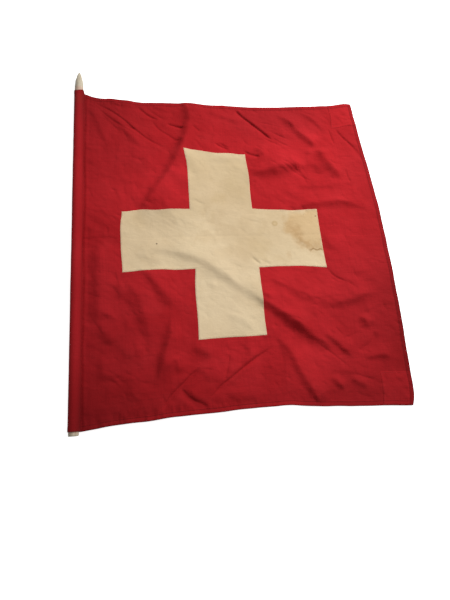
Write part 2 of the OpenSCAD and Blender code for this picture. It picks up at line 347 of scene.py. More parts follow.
ROLLS = [
    # From the top corner of the hoist.
    (3.6, 20, 26, 0.3, 0.35, [(80, 478), (113, 438), (140, 408), (168, 371), (195, 343), (212, 318)]),
    (2.2, 14, 24, 0.2, 0.5, [(28, 500), (45, 450), (66, 400), (85, 350), (98, 305)]),
    (1.6, 11, 16, 0.3, 0.4, [(75, 524), (115, 507), (160, 500), (215, 503)]),
    # Along the top, between the hoist and the cross.
    (6.2, 20, 90, 0.1, 0.2, [(346, 535), (356, 490), (359, 450), (349, 400), (321, 325), (285, 250),
     (247, 193), (204, 128), (165, 70)]),
    (3.8, 24, 60, 0.35, 0.3, [(345, 400), (320, 324), (284, 248), (242, 186), (195, 118)]),
    (1.4, 12, 16, [(420, 500), (450, 470), (500, 450), (560, 445)]),
    (1.2, 9, 16, [(240, 512), (270, 490), (315, 480)]),
    # Between the cross and the top edge.
    (3.0, 13, 16, [(586, 345), (600, 322), (614, 298)]),
    (5.6, 15, 24, 0.35, 0.15, [(672, 482), (698, 465), (728, 433), (752, 403), (778, 372), (812, 342)]),
    (6.6, 21, 24, 0.2, 0.3, [(808, 345), (815, 320), (823, 295), (839, 270), (858, 245), (888, 210)]),
    (2.6, 12, 18, [(765, 500), (790, 478), (818, 452), (838, 428), (850, 400)]),
    (10.5, 22, 36, 0.3, 0.25, [(552, 229), (600, 236), (650, 245), (700, 256), (742, 267), (772, 271)]),
    (2.6, 15, 20, 0.4, 0.3, [(740, 268), (772, 273), (798, 264), (806, 240)]),
    (5.4, 17, 26, 0.3, 0.5, [(690, 106), (740, 114), (790, 122), (840, 127), (890, 124), (940, 112),
     (985, 98)]),
    (2.0, 12, 20, 0.3, 0.3, [(715, 192), (790, 188), (870, 196), (950, 212)]),
    (2.2, 14, 20, [(783, 18), (795, -20), (808, -52)]),
    # The long fold down from the cross to the lower fly corner.
    (4.2, 21, 60, 0.35, 0.2, [(140, -12), (205, -30), (267, -40), (320, -54), (370, -72), (412, -104),
     (460, -143), (505, -178), (552, -215), (600, -248), (632, -276), (660, -302), (710, -340), (752, -364),
     (785, -385)]),
    (1.6, 16, 34, [(160, -42), (215, -62), (265, -84)]),
    (5.6, 19, 44, 0.3, 0.18, [(520, -188), (598, -247), (632, -277), (660, -306), (694, -334), (726, -354),
     (764, -376)]),
    (3.2, 10, 20, 0.3, 0.3, [(722, -316), (745, -334), (766, -349), (790, -372), (822, -406)]),
    (4.2, 18, 34, 0.35, 0.3, [(560, -128), (610, -155), (660, -185), (720, -215), (790, -232)]),
    (4.8, 17, 26, 0.35, 0.35, [(745, -236), (820, -230), (880, -210), (955, -196)]),
    (1.4, 12, 20, [(830, -110), (880, -125), (940, -118)]),
    (4.8, 16, 28, 0.25, 0.12, [(572, -312), (600, -347), (618, -382), (637, -425), (655, -460), (674, -500),
     (694, -538)]),
    (1.8, 12, 20, [(588, -345), (602, -390), (594, -440), (583, -470)]),
    (3.5, 11, 16, 0.3, 0.3, [(855, -407), (902, -402), (950, -407)]),
    (3.4, 11, 16, 0.35, 0.4, [(860, -266), (876, -292), (892, -314)]),
    (3.0, 13, 15, 0.3, 0.4, [(733, -455), (756, -476), (776, -500)]),
    (3.4, 12, 15, 0.3, 0.4, [(798, -461), (822, -478), (852, -497)]),
    (2.0, 12, 18, [(735, -440), (790, -440), (850, -455)]),
    # Soft folds below the cross's hoist arm.
    (5.4, 24, 26, 0.2, 0.2, [(56, 10), (50, -80), (49, -170), (50, -235), (56, -268)]),
    (3.8, 22, 22, 0.3, 0.3, [(50, -258), (64, -278), (82, -298), (94, -325)]),
    (3.0, 18, 20, [(60, -345), (67, -382), (64, -425)]),
    (3.9, 22, 26, 0.3, 0.45, [(135, -120), (158, -168), (171, -204), (181, -240), (192, -275), (203, -312),
     (212, -350)]),
    (2.8, 18, 20, [(118, -118), (118, -160), (128, -192)]),
    (4.8, 20, 28, 0.2, 0.25, [(200, -98), (222, -138), (240, -166), (262, -194), (290, -220)]),
    (8.4, 18, 26, 0.35, 0.35, [(274, -235), (264, -282), (254, -318), (240, -358), (230, -400), (222, -445)]),
    (2.0, 16, 20, [(130, -370), (165, -352), (205, -340)]),
    (2.6, 12, 22, 0.3, 0.4, [(266, -366), (278, -386), (284, -418)]),
    (4.6, 22, 18, [(318, -345), (350, -357), (392, -378)]),
    (1.8, 16, 24, [(135, -395), (150, -440), (150, -500)]),
    (1.2, 11, 14, 0.2, 0.3, [(20, 12), (75, 13), (130, 11)]),
    (2.0, 16, 20, [(330, -395), (360, -420), (370, -450)]),
    (3.2, 11, 22, 0.3, 0.4, [(400, -480), (450, -436), (505, -405), (540, -380)]),
    (2.2, 12, 18, [(468, -332), (492, -362), (474, -410)]),
    (1.8, 16, 22, [(420, -505), (480, -500), (540, -508)]),
    # On the cross.
    (1.6, 18, 40, [(395, 300), (440, 285), (520, 290), (560, 280)]),
    (1.4, 18, 36, [(430, -245), (470, -265), (520, -300)]),
]


def blurred(field, rounds):
    """The field with each value averaged with its neighbours, that many times."""
    for _ in range(rounds):
        field = np.pad(field, 1, mode="edge")
        field = (field[:-2] + 2 * field[1:-1] + field[2:]) / 4
        field = (field[:, :-2] + 2 * field[:, 1:-1] + field[:, 2:]) / 4
    return field


def small_creases(heights, count=520, seed=11):
    """Short, shallow creases all over, most of them running down towards the fly."""
    random = np.random.RandomState(seed)
    for _ in range(count):
        a, b = random.uniform(SEAM, FLY), random.uniform(-HOIST, HOIST)
        turn = math.radians(random.normal(-38, 26))
        half = random.uniform(12, 38)
        bend = random.normal(0, 5)
        da, db = half * math.cos(turn), half * math.sin(turn)
        points = [(a - da, b - db), (a - db * bend / half, b + da * bend / half), (a + da, b + db)]
        kind = "crease" if random.rand() < 0.6 else "roll"
        height = random.uniform(0.4, 1.3)
        dark, bright = (2.2, 6) if kind == "crease" else (8, 12)
        wrinkle(heights, kind, spline(points), height, dark, bright, (0.5, 0.5))


# How unevenly the cloth lies, and its soft crumple: height, then the noise's cell, seed, direction
# and stretch.
UNEVEN_LIE = [(2.2, 210, 3, -0.6, 1.5), (1.5, 95, 5, -0.7, 1.6)]
CRUMPLE = [(0.6, 44, 7, -0.8, 1.6), (0.42, 21, 9, -0.7, 1.5), (0.26, 10, 15, -0.4, 1.4)]


def settled():
    """Heights of the cloth before its plain wrinkles. It is stiffer on the cross."""
    h = 4.0 + 3.0 * smooth(from_edge(AA, BB) / 60)
    for height, *noise in UNEVEN_LIE:
        h += height * value_noise(AA, BB, *noise)
    crumple = np.zeros(AA.shape)
    for height, *noise in CRUMPLE:
        crumple += height * value_noise(AA, BB, *noise)
    crumple += 0.6 * np.abs(value_noise(AA, BB, 60, 13, 0.5, 1.4))
    small_creases(crumple)
    on_cross = smooth(0.5 + inside_cross(AA, BB) / 6)
    return h + 1.5 * crumple * (1 - 0.6 * on_cross)


def add_wrinkles(h):
    """The plain wrinkles, and a faint line across, where the flag was folded away."""
    for kind, rows in (("crease", CREASES), ("roll", ROLLS)):
        for height, dark, bright, *taper, points in rows:
            line = spline(points)
            line = np.stack(on_cloth(line[:, 0], line[:, 1]), -1)
            wrinkle(h, kind, line, height * DEPTH, dark, bright, taper or EVEN_TAPER)
    stored = 0.5 + 0.7 * smooth((CROSS_A[0] - AA) / 30)
    h -= stored * np.exp(-(((BB - 12) / 4.0) ** 2)) * (0.6 + 0.4 * value_noise(AA, BB, 70, 17))


def add_puckers(h):
    """Puckers across the hems, the stitches' own furrow, and ripples beside the cross's edges."""
    by_butt = smooth(-BB / HOIST) * smooth((450 - AA) / 200)
    for from_side, along, way, seed, deep, far in (
            (HOIST - np.abs(BB), AA, BB, 21, 0.9 + 0.7 * by_butt, 12 + 9 * by_butt),
            (FLY - AA, BB, AA, 23, 0.4, 12)):
        pucker = 0.9 * value_noise(along, way * 0.25, 5.5, seed)
        pucker += 0.6 * value_noise(along, way * 0.4, 13, seed + 1)
        h += deep * pucker * np.exp(-(np.abs(from_side - HEM + 2) / far) ** 2)
    h -= 1.25 * np.exp(-(((from_edge(AA, BB) - HEM + IN_FROM_EDGE) / 2.6) ** 2))
    for box in CROSS_BOXES:
        h += 0.22 * value_noise(AA, BB, 13, 25) * np.exp(-((inside_box(AA, BB, *box) / 9) ** 2))


def held_by_seam(h):
    """The heights, held down beside the staff by the seam, with gathers just past it."""
    past_seam = AA - SEAM
    near = np.exp(-past_seam / 20)
    h = h * (1 - 0.6 * near) + 2.4 * near
    h -= 0.6 * np.exp(-(((past_seam - SEAM_FURROW) / 2.6) ** 2))
    h += 1.0 * np.exp(-(((past_seam - 8) / 5) ** 2))
    gathers = 0.45 * value_noise(AA * 0.3, BB, 9, 27) + 0.5 * value_noise(AA * 0.4, BB, 19, 29)
    return h + gathers * np.exp(-(np.abs(past_seam - 14) / 9) ** 2)


# Low places flatten out on the floor: the field's middle is never lower than this.
LOWEST = 1.7
FLATTENING = 0.7


def make_heights():
    """Height of the field's middle above the floor, in millimetres, on the whole grid."""
    h = settled()
    add_wrinkles(h)
    add_puckers(h)
    h = blurred(held_by_seam(h), 1)
    return LOWEST + np.logaddexp(0, (h - LOWEST) / FLATTENING) * FLATTENING


HEIGHTS = make_heights()


def sample(field, a, b):
    """The field's value at places between its grid's points, with a smooth cubic."""
    u = (np.asarray(a, float) - grid_a[0]) / PITCH
    v = (np.asarray(b, float) - grid_b[0]) / PITCH
    u = np.clip(u, 1, len(grid_a) - 2.001)
    v = np.clip(v, 1, len(grid_b) - 2.001)
    i, j = np.floor(u).astype(int), np.floor(v).astype(int)
    fu, fv = u - i, v - j

    def weights(f):
        return (-0.5 * f + f**2 - 0.5 * f**3, 1 - 2.5 * f**2 + 1.5 * f**3,
                0.5 * f + 2 * f**2 - 1.5 * f**3, -0.5 * f**2 + 0.5 * f**3)

    wu, wv = weights(fu), weights(fv)
    total = 0
    for m in range(4):
        rows = np.clip(j + m - 1, 0, len(grid_b) - 1)
        line = sum(wu[n] * field[rows, np.clip(i + n - 1, 0, len(grid_a) - 1)] for n in range(4))
        total = total + wv[m] * line
    return total


SLOPE_B, SLOPE_A = np.gradient(HEIGHTS, PITCH)


# The cloth lies turned by this angle, in radians, against the staff. Its seam follows the staff,
# and the turn is whole at this distance from it.
TURN = 0.0063
TURN_FROM = 250


def place(a, b, lift=0.0):
    """Where the cloth at (a, b) lies in the frame, in metres, lifted along its normal by lift
    millimetres."""
    a, b = np.broadcast_arrays(np.asarray(a, float), np.asarray(b, float))
    across, up = drawn(a, b)
    x = a + across - TURN * (b + HOIST) * smooth(a / TURN_FROM)
    y = b + up + TURN * a
    normal = normal_at(a, b)
    z = sample(HEIGHTS, a, b)
    point = np.stack([x, y, z], -1) + normal * np.asarray(lift)[..., None]
    return point * MM + TO_FRAME


def normal_at(a, b):
    """The cloth's upward normal at (a, b)."""
    n = np.stack([-sample(SLOPE_A, a, b), -sample(SLOPE_B, a, b), np.ones(np.shape(a))], -1)
    return n / np.linalg.norm(n, axis=-1, keepdims=True)


# ---------------------------------------------------------------- meshes


def make_object(name, verts, faces, material, cloth, loop_normals=None):
    """A mesh object in the scene. cloth holds each vertex's place on the cloth, for the
    material's weave."""
    mesh = bpy.data.meshes.new(name)
    mesh.from_pydata(verts.tolist(), [], faces)
    mesh.update()
    attribute = mesh.attributes.new("cloth", "FLOAT_VECTOR", "POINT")
    attribute.data.foreach_set("vector", np.asarray(cloth, np.float32).ravel())
    mesh.polygons.foreach_set("use_smooth", [True] * len(mesh.polygons))
    if loop_normals is not None:
        mesh.normals_split_custom_set(loop_normals.tolist())
    obj = bpy.data.objects.new(name, mesh)
    obj.data.materials.append(material)
    bpy.context.scene.collection.objects.link(obj)
    return obj


def lines_between(low, high, pitch, stops):
    """Grid lines from low to high, at most pitch apart, with one on each stop."""
    marks = sorted({low, high, *[s for s in stops if low < s < high]})
    out = [np.array([low])]
    for one, two in zip(marks[:-1], marks[1:]):
        count = max(1, math.ceil((two - one) / pitch - 1e-6))
        out.append(np.linspace(one, two, count + 1)[1:])
    return np.concatenate(out)


def closed_sheet(name, outer, inner, normals, cells, cloth, material):
    """A closed sheet of cloth between two grids of points, over the grid's accepted cells.
    normals holds both faces' normals, so that neighbouring pieces meet without a line."""
    shift = outer.shape[0] * outer.shape[1]
    index = np.arange(shift).reshape(outer.shape[:2])
    quad = np.stack([index[:-1, :-1], index[:-1, 1:], index[1:, 1:], index[1:, :-1]], -1)[cells]
    down = quad[:, ::-1] + shift
    padded = np.pad(cells, 1)
    rims = []
    for row, col, one, two in ((-1, 0, 0, 1), (0, 1, 1, 2), (1, 0, 2, 3), (0, -1, 3, 0)):
        beside = padded[1 + row:1 + row + cells.shape[0], 1 + col:1 + col + cells.shape[1]]
        edge = (cells & ~beside)[cells]
        v0, v1 = quad[edge, one], quad[edge, two]
        rims.append(np.stack([v1, v0, v0 + shift, v1 + shift], -1))
    rim = np.concatenate(rims)
    verts = np.concatenate([outer.reshape(-1, 3), inner.reshape(-1, 3)])
    face_normals = np.concatenate([normals[0].reshape(-1, 3), normals[1].reshape(-1, 3)])
    corner = verts[rim]
    rim_normals = np.cross(corner[:, 1] - corner[:, 0], corner[:, 3] - corner[:, 0])
    rim_normals /= np.maximum(np.linalg.norm(rim_normals, axis=1, keepdims=True), 1e-12)
    loops = np.concatenate([face_normals[quad].reshape(-1, 3), face_normals[down].reshape(-1, 3),
                            np.repeat(rim_normals, 4, axis=0)])
    used, faces = np.unique(np.concatenate([quad, down, rim]), return_inverse=True)
    cloth = np.concatenate([cloth.reshape(-1, 3), cloth.reshape(-1, 3) + np.array([0, 0, 1])])
    return make_object(name, verts[used], faces.reshape(-1, 4).tolist(), material, cloth[used], loops)


def slab(name, a_lines, b_lines, inside, top, bottom, material):
    """A piece of the flag's cloth over the cells of a grid that inside(a, b) accepts. top(a, b)
    and bottom(a, b) are the lifts of its faces from the field's middle."""
    a, b = np.meshgrid(a_lines, b_lines)
    cells = inside(*np.meshgrid((a_lines[1:] + a_lines[:-1]) / 2, (b_lines[1:] + b_lines[:-1]) / 2))
    cloth = np.stack([a, b, np.zeros(a.shape)], -1) * MM
    normals = (surface_normals(a, b, top), -surface_normals(a, b, bottom))
    return closed_sheet(name, place(a, b, top(a, b)), place(a, b, bottom(a, b)), normals, cells,
                        cloth, material)


def surface_normals(a, b, lift):
    """Normals of the cloth lifted by lift(a, b), whose own slopes tilt them."""
    step = 0.4
    n = normal_at(a, b)
    slope_a = (lift(a + step, b) - lift(a - step, b)) / (2 * step)
    slope_b = (lift(a, b + step) - lift(a, b - step)) / (2 * step)
    n = n / n[..., 2:]
    n = np.stack([n[..., 0] - slope_a, n[..., 1] - slope_b, n[..., 2]], -1)
    return n / np.linalg.norm(n, axis=-1, keepdims=True)


def bend_with(obj, section):
    """Attaches a piece of the first or the last section to its end strip; a piece of any other section has
    its transform baked into its mesh and is attached to no strip.
    """
    if section in (0, len(STRIPS)):
        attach(obj, STRIPS[-1 if section else 0])
    else:
        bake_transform(obj)


# ---------------------------------------------------------------- materials

# A material finds its place on the cloth, in metres, in the "cloth" attribute. Colours are linear.
WARP_PITCH = 0.0011
SOFT_ROUGH = (0.82, 0.95)
# Soft oval places on the red cloth: middle, radii (in metres) and how strong. The first table is painted
# pools of light, paler where more light fell; the second is painted shade, darker where less light fell.
LIT_PLACES = [(0.19, 0.15, 0.24, 0.13, 0.20), (0.65, -0.16, 0.20, 0.13, 0.22),
               (0.65, 0.20, 0.18, 0.10, 0.14), (0.68, -0.42, 0.11, 0.10, 0.28),
               (0.28, -0.14, 0.12, 0.10, 0.10)]
SHADED_PLACES = [(0.67, 0.47, 0.22, 0.13, 0.20), (0.20, -0.34, 0.18, 0.16, 0.06),
                (0.10, 0.36, 0.16, 0.22, 0.07), (0.30, 0.42, 0.16, 0.16, 0.06)]
RUSTY_PLACE = (-0.016, 0.515, 0.024, 0.030)
# The same on the cross: where old washing has left it paler, and where it has gone yellower.
WASHED_PLACES = [(0.42, -0.18, 0.14, 0.20, 0.50), (0.20, 0.00, 0.12, 0.14, 0.25)]
YELLOW_PLACES = [(0.53, 0.24, 0.11, 0.16, 0.62), (0.38, 0.29, 0.10, 0.12, 0.45),
                 (0.62, 0.00, 0.20, 0.14, 0.22), (0.34, 0.12, 0.10, 0.06, 0.30)]
# The water stain at the fly end: its two overlapping bodies, and the brown patches round them.
STAIN_BODIES = [(0.752, 0.040, 0.062, 0.078), (0.712, 0.048, 0.056, 0.062)]
STAIN_PATCHES = [(0.699, 0.006, 0.016, 0.036, 0.72), (0.662, 0.078, 0.020, 0.013, 0.42),
                 (0.684, 0.050, 0.020, 0.020, 0.42), (0.668, 0.042, 0.018, 0.014, 0.25),
                 (0.718, -0.020, 0.020, 0.012, 0.45), (0.752, -0.026, 0.034, 0.016, 0.70),
                 (0.658, -0.060, 0.008, 0.018, 0.32)]
RING_PLACE = (0.626, 0.058)
# Small dots on the cross: middle, radius, how strong, and the colour.
DOTS = [(0.240, -0.010, 0.0032, 0.9, (0.16, 0.11, 0.07)), (0.768, 0.083, 0.0028, 0.9, (0.25, 0.13, 0.07)),
        (0.728, 0.090, 0.0020, 0.5, (0.33, 0.20, 0.10))]
# Smudges on the cross: middle, radius and how strong.
SMUDGES = [(0.440, 0.150, 0.030, 0.30), (0.180, 0.070, 0.040, 0.22), (0.560, -0.030, 0.045, 0.25),
           (0.582, -0.071, 0.016, 0.25)]


class Nodes:
    """Short calls for building one material's nodes."""

    def __init__(self, name):
        self.material = bpy.data.materials.new(name)
        self.material.use_nodes = True
        self.tree = self.material.node_tree
        self.shader = self.tree.nodes["Principled BSDF"]

    def add(self, kind, settings=None, **inputs):
        """A new node, with its settings and its inputs fed."""
        node = self.tree.nodes.new("ShaderNode" + kind)
        for key, value in (settings or {}).items():
            setattr(node, key, value)
        for key, value in inputs.items():
            self.feed(node, key, value)
        return node

    def feed(self, node, key, value):
        """Links or sets an input, by name or as _number. Colours may leave out their alpha."""
        socket = node.inputs[int(key[1:]) if key[0] == "_" else key]
        if isinstance(value, bpy.types.NodeSocket):
            self.tree.links.new(value, socket)
        else:
            socket.default_value = (*value, 1) if socket.type == "RGBA" else value

    def math(self, operation, one, two=0.0):
        return self.add("Math", {"operation": operation}, _0=one, _1=two).outputs[0]

    def plus(self, one, two):
        return self.math("ADD", one, two)

    def minus(self, one, two):
        return self.math("SUBTRACT", one, two)

    def times(self, one, two):
        return self.math("MULTIPLY", one, two)

    def noise(self, vector, scale, detail=3.0, roughness=0.5, distortion=0.0):
        return self.add("TexNoise", None, Vector=vector, Scale=scale, Detail=detail,
                        Roughness=roughness, Distortion=distortion).outputs["Fac"]

    def drawn_noise(self, vector, scales, *settings):
        """Noise with its own scale along each axis, drawn out along those with a small one."""
        return self.noise(self.add("Mapping", None, Vector=vector, Scale=scales).outputs[0], 1.0, *settings)

    def span(self, value, from_low, from_high, to_low=0.0, to_high=1.0):
        """A smooth step from to_low to to_high as value goes from from_low to from_high."""
        return self.add("MapRange", {"interpolation_type": "SMOOTHSTEP"}, _0=value, _1=from_low,
                        _2=from_high, _3=to_low, _4=to_high).outputs[0]

    def mix(self, factor, one, two):
        return self.add("Mix", {"data_type": "RGBA"}, _0=factor, _6=one, _7=two).outputs[2]

    def paint(self, colour, shade, where, strength):
        """The colour with that share of a shade over it where where is 1."""
        return self.mix(self.times(where, strength), colour, shade)

    def bump(self, height, strength, distance, normal=None):
        """Normals of a relief, on top of those of a coarser one."""
        node = self.add("Bump", None, Height=height, Strength=strength, Distance=distance)
        if normal is not None:
            self.feed(node, "Normal", normal)
        return node.outputs[0]

    def places(self):
        """The place on the cloth as a vector, and its two distances."""
        cloth = self.add("Attribute", {"attribute_name": "cloth"}).outputs["Vector"]
        return cloth, *self.add("SeparateXYZ", None, Vector=cloth).outputs[:2]

    def finish(self, **inputs):
        """Feeds the shader, whose inputs are named with _ for their spaces, and returns the material."""
        for key, value in inputs.items():
            self.feed(self.shader, key.replace("_", " "), value)
        return self.material


def weave(n, cloth, a, b):
    """A plain weave's threads, and the thick and thin places along them: (relief, slubs)."""
    warp, weft = (n.math("SINE", n.times(way, math.tau / WARP_PITCH)) for way in (a, b))
    relief = n.times(warp, weft)
    along, level = (n.drawn_noise(cloth, scales, 3.0, 0.6) for scales in ((30, 900, 1), (900, 30, 1)))
    return relief, n.times(n.plus(along, level), 0.5)


def streaks(n, cloth):
    """Broader bars along both threads, where the dye took unevenly."""
    up, level = (n.span(n.drawn_noise(cloth, scales, 3.0, 0.65), 0.42, 0.70)
                 for scales in ((240, 8, 1), (8, 240, 1)))
    return n.times(n.plus(up, level), 0.5)


def cloth_bump(n, relief, slubs, cloth):
    """The weave, the slubs and fine creasing that is too small for the mesh."""
    creasing = n.drawn_noise(cloth, (70, 110, 1), 4.0, 0.6, 0.6)
    slubbed = n.bump(slubs, 0.35, 0.0006, n.bump(creasing, 0.5, 0.0016))
    return n.bump(relief, 0.18, 0.0002, slubbed)


def band(n, value, middle, half):
    """1 where value is at the middle of a soft band, and 0 half its width away."""
    return n.span(n.math("ABSOLUTE", n.minus(value, middle)), half, 0.0)


def square_from(n, a, b, ca, cb, ra, rb):
    """Squared distance of (a, b) from a place, in radii."""
    da, db = n.math("DIVIDE", n.minus(a, ca), ra), n.math("DIVIDE", n.minus(b, cb), rb)
    return n.plus(n.times(da, da), n.times(db, db))


def spot(n, a, b, *oval):
    """1 in the middle of a soft oval spot and 0 outside it."""
    return n.span(square_from(n, a, b, *oval), 1.0, 0.0)


def distance_from(n, a, b, ca, cb):
    """Distance of (a, b) from a place."""
    across, up = (n.math("POWER", n.minus(way, middle), 2.0) for way, middle in ((a, ca), (b, cb)))
    return n.math("SQRT", n.plus(across, up))


def red_cloth(name, lift, low_shade):
    """Faded red cotton, darker by the hoist and in its corners, partly from soiling and partly from painted
    light falloff. lift brightens it, and the last argument is how much painted shade darkens it low down
    towards the fly."""
    n = Nodes(name)
    cloth, a, b = n.places()
    relief, slubs = weave(n, cloth, a, b)
    broad, mottle = n.noise(cloth, 3.2, 3.0, 0.55, 0.3), n.noise(cloth, 17.0, 4.0, 0.6, 0.4)

    def lifted(*shade):
        return tuple(lift * value for value in shade)

    colour = n.mix(n.span(broad, 0.35, 0.68), lifted(0.405, 0.0120, 0.0156), lifted(0.495, 0.0178, 0.0235))
    colour = n.paint(colour, lifted(0.50, 0.030, 0.034), n.span(mottle, 0.4, 0.75), 0.24)
    colour = n.paint(colour, (0.22, 0.006, 0.008), n.span(slubs, 0.40, 0.66), 0.20)
    colour = n.paint(colour, (0.24, 0.008, 0.010), streaks(n, cloth), 0.36)
    # Broad places are painted paler, as painted pools of light where more light fell. The sleeve is paler,
    # more so towards the top, and its outer flank is painted paler still, as painted light where the lamp
    # leaves it in shade.
    for *oval, depth in LIT_PLACES:
        colour = n.paint(colour, lifted(0.66, 0.026, 0.033), spot(n, a, b, *oval), depth)
    colour = n.paint(colour, (0.40, 0.055, 0.028), spot(n, a, b, *RUSTY_PLACE), 0.30)
    on_sleeve = n.span(a, SEAM * MM, (SEAM - 5) * MM)
    paler_and_lit = n.times(on_sleeve, n.span(b, -0.20, 0.10, 0.04, 0.15))
    # Painted light: the sleeve's outer flank, away from the field, which the lamp leaves in shade, is painted
    # paler.
    paler_and_lit = n.plus(paler_and_lit, n.times(n.span(a, -0.018, -0.040), 0.42))
    colour = n.mix(paler_and_lit, colour, (0.66, 0.026, 0.033))
    # Painted light falloff mixed with soiling: the cloth is darkened towards the hoist, low down, in the
    # corners, towards its edges and in a few broad places, standing in part for light that falls off across
    # the cloth and in part for soiling by handling.
    by_hoist, far_up = n.span(a, 0.30, 0.0), n.math("ABSOLUTE", b)
    by_edge = n.math("MAXIMUM", n.span(far_up, 0.36, 0.56), n.span(a, 0.84, 1.0))
    in_corner = n.times(by_hoist, n.span(far_up, 0.10, 0.52))
    low_hoist = n.times(n.span(a, 0.62, 0.10), n.span(b, 0.0, -0.18))
    low_hoist = n.times(low_hoist, n.span(a, 0.0, 0.03, 0.35, 1.0))
    low_fly = n.times(n.span(a, 0.50, 0.95), n.span(b, 0.06, -0.22))
    # Painted shade on the sleeve's side that slopes down to the seam, where the seam's valley shades it.
    shaded_flank = n.times(on_sleeve, n.span(a, -0.020, 0.000))
    to_fly = n.minus(FLY * MM, a)
    shade_and_soil = n.times(by_hoist, 0.22)
    for where, share in ((by_edge, 0.25), (in_corner, 0.14), (low_hoist, 0.14), (low_fly, low_shade),
                         *((spot(n, a, b, *oval), depth) for *oval, depth in SHADED_PLACES),
                         (shaded_flank, 0.24), (n.span(to_fly, 0.016, 0.011), 0.20)):
        shade_and_soil = n.plus(shade_and_soil, n.times(where, share))
    colour = n.mix(shade_and_soil, colour, (0.13, 0.0050, 0.0060))
    # The stitched furrows are darkened, partly by dirt and partly as painted shade in them; the folded edges
    # get a dark line of painted shade where they roll under; and a band of painted shade lies in the seam's
    # valley beside the sleeve.
    from_rim = n.math("MINIMUM", n.minus(HOIST * MM, far_up), to_fly)
    past_seam = n.span(a, (SEAM - 2) * MM, (SEAM + 6) * MM, 0.15, 1.0)
    furrow_dirt_and_shade = n.times(band(n, from_rim, (HEM - IN_FROM_EDGE) * MM, 0.0022), past_seam)
    line = n.math("MAXIMUM", furrow_dirt_and_shade, n.span(from_rim, 0.0042, 0.0012))
    line = n.math("MAXIMUM", line, n.times(band(n, a, (SEAM - 2.5) * MM, 0.0052), 0.55))
    colour = n.paint(colour, (0.085, 0.0030, 0.0040), line, 0.48)
    return n.finish(Base_Color=colour, Roughness=n.span(mottle, 0.2, 0.8, *SOFT_ROUGH),
                    Normal=cloth_bump(n, relief, slubs, cloth), Sheen_Weight=0.06,
                    Sheen_Roughness=0.5, Sheen_Tint=(0.8, 0.12, 0.12), Specular_IOR_Level=0.05)


def cream_cloth():
    """White cotton yellowed by age, with water stains."""
    n = Nodes("cream_cotton")
    cloth, a, b = n.places()
    relief, slubs = weave(n, cloth, a, b)
    broad, mottle = n.noise(cloth, 4.5, 4.0, 0.55, 0.5), n.noise(cloth, 14.0, 5.0, 0.6, 0.8)
    colour = n.mix(n.span(broad, 0.36, 0.66), (0.645, 0.486, 0.295), (0.725, 0.568, 0.360))
    colour = n.paint(colour, (0.58, 0.42, 0.235), n.span(mottle, 0.48, 0.72), 0.35)
    colour = n.paint(colour, (0.48, 0.38, 0.23), n.span(slubs, 0.42, 0.66), 0.14)
    ragged = n.times(n.minus(n.noise(cloth, 20.0, 3.0, 0.5), 0.5), 0.060)

    def from_place(ca, cb, ra, rb):
        """Distance from a place in stain radii, with a ragged edge."""
        smooth_edge = n.math("SQRT", square_from(n, a, b, ca, cb, ra, rb))
        return n.plus(smooth_edge, n.math("DIVIDE", ragged, rb))

    for places, shade in ((WASHED_PLACES, (0.80, 0.635, 0.415)), (YELLOW_PLACES, (0.52, 0.385, 0.215))):
        for *oval, depth in places:
            colour = n.paint(colour, shade, spot(n, a, b, *oval), depth)
    # The big water stain: a tan body, a blotchy brown inner side and a tide line.
    body = n.math("MINIMUM", *[from_place(*oval) for oval in STAIN_BODIES])
    colour = n.paint(colour, (0.58, 0.38, 0.18), n.span(body, 1.10, 0.70), 0.60)
    blotchy = n.span(n.noise(cloth, 60.0, 4.0, 0.6, 0.6), 0.34, 0.62, 0.45, 1.0)
    for *oval, depth in STAIN_PATCHES:
        patch = n.times(n.span(from_place(*oval), 1.7, 0.0), blotchy)
        colour = n.paint(colour, (0.46, 0.28, 0.125), patch, depth)
    wavy = n.times(n.minus(n.noise(cloth, 46.0, 2.0, 0.5), 0.5), 0.030)
    below_stain = n.times(n.span(a, 0.722, 0.738), n.span(a, 0.782, 0.770))
    tide = n.times(band(n, n.plus(b, wavy), -0.0375, 0.0055), below_stain)
    colour = n.paint(colour, (0.34, 0.20, 0.085), tide, 0.90)
    # A little ring, small dots, and smudges.
    ring = distance_from(n, a, b, *RING_PLACE)
    circle = n.times(n.span(ring, 0.0020, 0.0072), n.span(ring, 0.0120, 0.0078))
    colour = n.paint(colour, (0.47, 0.32, 0.15), circle, 0.45)
    colour = n.paint(colour, (0.54, 0.38, 0.19), n.span(ring, 0.0115, 0.005), 0.45)
    for ca, cb, radius, depth, shade in DOTS:
        dot = n.span(distance_from(n, a, b, ca, cb), 1.1 * radius, 0.5 * radius)
        colour = n.paint(colour, shade, dot, depth)
    for ca, cb, radius, depth in SMUDGES:
        smudge = n.span(from_place(ca, cb, radius, radius), 1.2, 0.3)
        colour = n.paint(colour, (0.54, 0.39, 0.20), smudge, depth)
    # The red has bled a little into the turned edges.
    outside = n.math("MINIMUM", *[outside_box(n, a, b, *box) for box in CROSS_BOXES])
    colour = n.paint(colour, (0.66, 0.40, 0.29), n.span(outside, -0.005, -0.0005), 0.35)
    return n.finish(Base_Color=colour, Roughness=n.span(mottle, 0.2, 0.8, *SOFT_ROUGH),
                    Normal=cloth_bump(n, relief, slubs, cloth), Sheen_Weight=0.04,
                    Sheen_Roughness=0.5, Specular_IOR_Level=0.10)


def outside_box(n, a, b, a_ends, b_ends):
    """How far (a, b) is outside a rectangle given in millimetres; negative inside it."""
    pairs = [n.math("MAXIMUM", n.minus(low * MM, way), n.minus(way, high * MM))
             for way, (low, high) in ((a, a_ends), (b, b_ends))]
    return n.math("MAXIMUM", *pairs)


def thread(name, colour, dark):
    """Twisted cotton thread."""
    n = Nodes(name)
    ply = n.noise(n.places()[0], 900.0, 2.0, 0.5)
    return n.finish(Base_Color=n.mix(n.span(ply, 0.35, 0.65), dark, colour), Roughness=0.7,
                    Normal=n.bump(ply, 0.4, 0.0002), Specular_IOR_Level=0.25)


